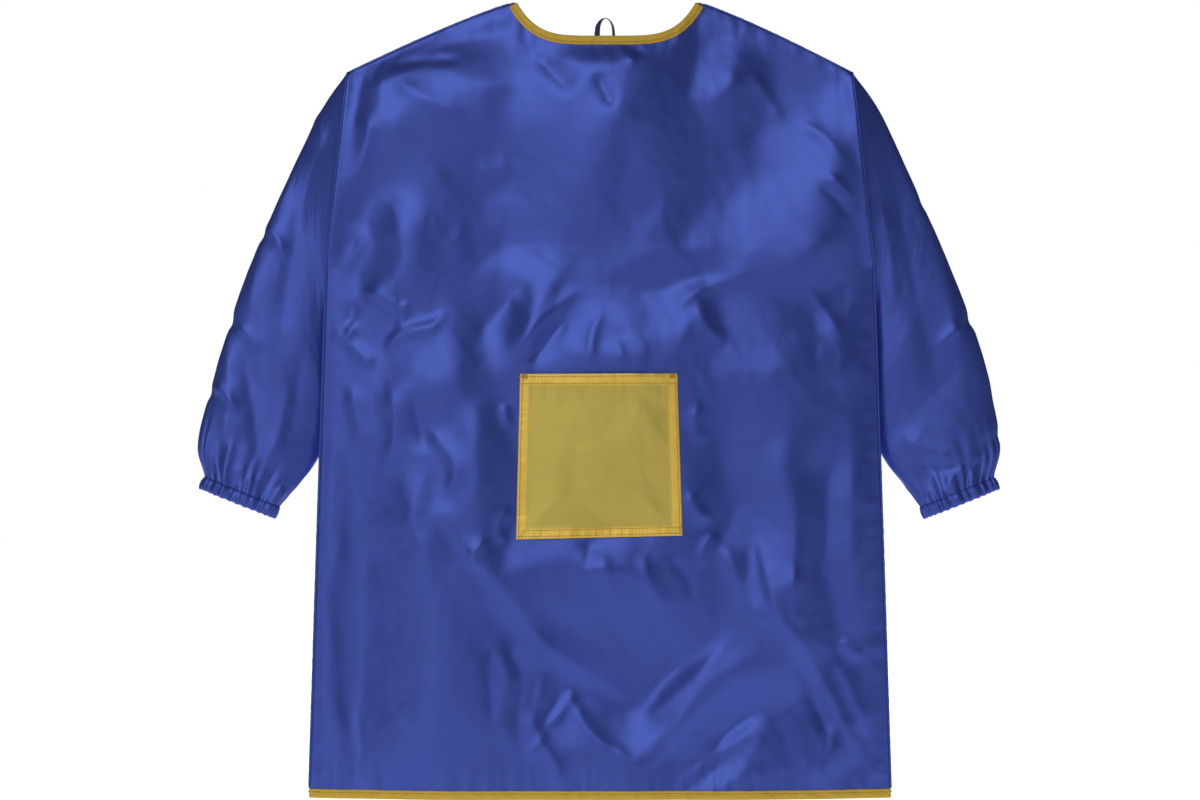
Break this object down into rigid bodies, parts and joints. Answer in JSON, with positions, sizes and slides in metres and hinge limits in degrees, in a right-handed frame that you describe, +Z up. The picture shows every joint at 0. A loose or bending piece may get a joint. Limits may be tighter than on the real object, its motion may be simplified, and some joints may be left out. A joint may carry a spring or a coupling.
{
  "type": "painting smock",
  "caption": "Long-sleeved painting smock for a child in blue coated nylon, with yellow bound edges, a square front pocket, elastic cuffs and a back opening.",
  "frame": {"origin": "middle of the neck, level with the top of the shoulder seams, between the front and the back", "axes": "+Z up as the smock hangs, the front faces -Y, +X towards the right of someone who faces the front"},
  "size_m": [0.705, 0.0614, 0.7005],
  "materials": {
    "blue_nylon": "satin",
    "yellow_binding": "matte",
    "yellow_nylon": "satin",
    "blue_thread": "matte",
    "yellow_thread": "matte",
    "dark_tape": "matte",
    "elastic": "matte",
    "hook_and_loop": "matte"
  },
  "bodies": {
    "smock_body": {"front_panel": "blue_nylon", "front_neck_binding": "yellow_binding", "neck_binding_thread": "yellow_thread", "front_hem_binding": "yellow_binding", "hem_binding_thread": "yellow_thread", "pocket_panel": "yellow_nylon", "pocket_thread": "yellow_thread", "pocket_mouth_thread": "yellow_thread", "bar_tack_left": "yellow_thread", "bar_tack_right": "yellow_thread", "back_panel_left": "blue_nylon", "back_hem_binding_left": "yellow_binding", "shoulder_seam_left": "blue_thread", "side_seam_left": "blue_thread", "armhole_seam_left": "blue_thread", "back_panel_right": "blue_nylon", "back_hem_binding_right": "yellow_binding", "shoulder_seam_right": "blue_thread", "side_seam_right": "blue_thread", "armhole_seam_right": "blue_thread"},
    "left_sleeve": {"sleeve_left": "blue_nylon", "cuff_casing_left": "blue_nylon", "cuff_elastic_left": "elastic", "cuff_thread_left": "blue_thread"},
    "right_sleeve": {"sleeve_right": "blue_nylon", "cuff_casing_right": "blue_nylon", "cuff_elastic_right": "elastic", "cuff_thread_right": "blue_thread"},
    "right_flap": {"back_flap_right": "blue_nylon", "back_neck_binding_right": "yellow_binding", "flap_hem_binding_right": "yellow_binding", "back_edge_thread_right": "blue_thread", "loop_patch": "hook_and_loop"},
    "left_flap": {"back_flap_left": "blue_nylon", "back_neck_binding_left": "yellow_binding", "flap_hem_binding_left": "yellow_binding", "back_edge_thread_left": "blue_thread", "hook_patch": "hook_and_loop"},
    "loop": {"hanging_loop": "dark_tape"}
  },
  "joints": [
    {"name": "left_sleeve_swing", "type": "hinge", "parent": "smock_body", "child": "left_sleeve", "pos_m": [-0.2223, 0, -0.062], "axis": [0, 1, 0], "range_deg": [0, 75]},
    {"name": "right_sleeve_swing", "type": "hinge", "parent": "smock_body", "child": "right_sleeve", "pos_m": [0.2223, 0, -0.062], "axis": [0, -1, 0], "range_deg": [0, 75]},
    {"name": "right_flap_open", "type": "hinge", "parent": "smock_body", "child": "right_flap", "pos_m": [0.095, 0.0195, -0.35], "axis": [0, 0, -1], "range_deg": [0, 120]},
    {"name": "left_flap_open", "type": "hinge", "parent": "smock_body", "child": "left_flap", "pos_m": [-0.095, 0.0195, -0.35], "axis": [0, 0, 1], "range_deg": [0, 54]},
    {"name": "loop_tilt", "type": "hinge", "parent": "right_flap", "child": "loop", "pos_m": [0, 0.01209, -0.0298], "axis": [1, 0, 0], "range_deg": [-70, 70]}
  ],
  "couplings": [
    {"joint": "left_flap_open", "follows": "right_flap_open", "ratio": 0.45}
  ]
}
